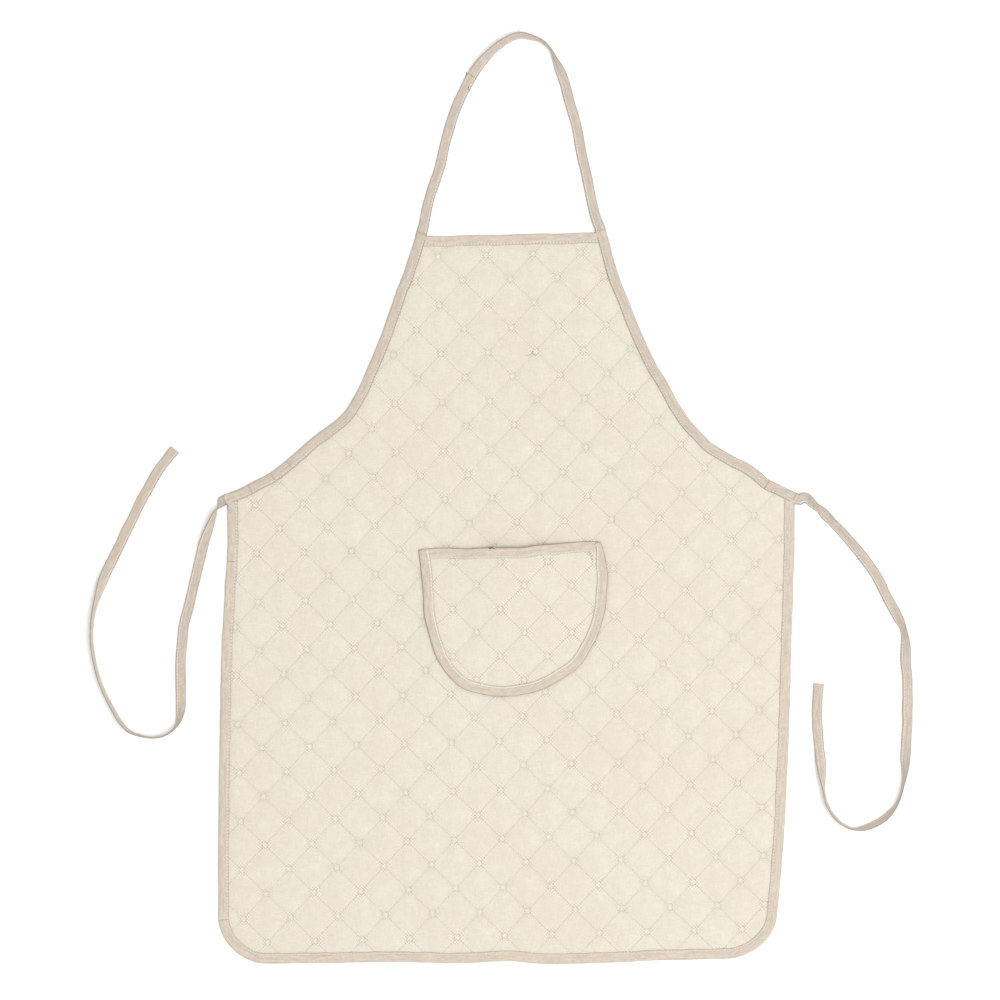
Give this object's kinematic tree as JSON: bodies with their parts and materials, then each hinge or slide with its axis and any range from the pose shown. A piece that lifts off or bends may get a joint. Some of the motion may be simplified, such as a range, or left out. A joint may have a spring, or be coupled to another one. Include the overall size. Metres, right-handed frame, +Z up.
{
  "type": "kitchen apron",
  "caption": "Bib kitchen apron of diamond-quilted cream cotton, bound in beige tape, with a neck loop, loose side ties and a round-bottomed patch pocket, laid flat",
  "frame": {"origin": "on the surface the apron lies on, under the middle of its outline from the hem to the top of the neck loop, measured without the two loose ties", "axes": "+Z up from the surface, +Y from the hem towards the neck loop, +X to the right as seen from above with the neck loop at the top"},
  "size_m": [0.898, 1.0173, 0.0145],
  "materials": {
    "apron_panel_cotton": "quilted cotton, matt",
    "bib_top_binding_tape": "folded cotton bias tape, matt",
    "left_armhole_binding_tape": "folded cotton bias tape, matt",
    "right_armhole_binding_tape": "folded cotton bias tape, matt",
    "hem_binding_tape": "folded cotton bias tape, matt",
    "neck_loop_tape": "folded cotton tape, matt",
    "left_tie_tape": "folded cotton tape, matt",
    "right_tie_tape": "folded cotton tape, matt",
    "pocket_panel_cotton": "quilted cotton, matt",
    "pocket_top_binding_tape": "folded cotton bias tape, matt",
    "pocket_curve_binding_tape": "folded cotton bias tape, matt"
  },
  "bodies": {
    "root": {"apron_panel": "apron_panel_cotton", "bib_top_binding": "bib_top_binding_tape", "left_armhole_binding": "left_armhole_binding_tape", "right_armhole_binding": "right_armhole_binding_tape", "hem_binding": "hem_binding_tape", "neck_loop": "neck_loop_tape", "left_tie": "left_tie_tape", "right_tie": "right_tie_tape", "pocket_panel": "pocket_panel_cotton", "pocket_top_binding": "pocket_top_binding_tape", "pocket_curve_binding": "pocket_curve_binding_tape"}
  },
  "joints": []
}
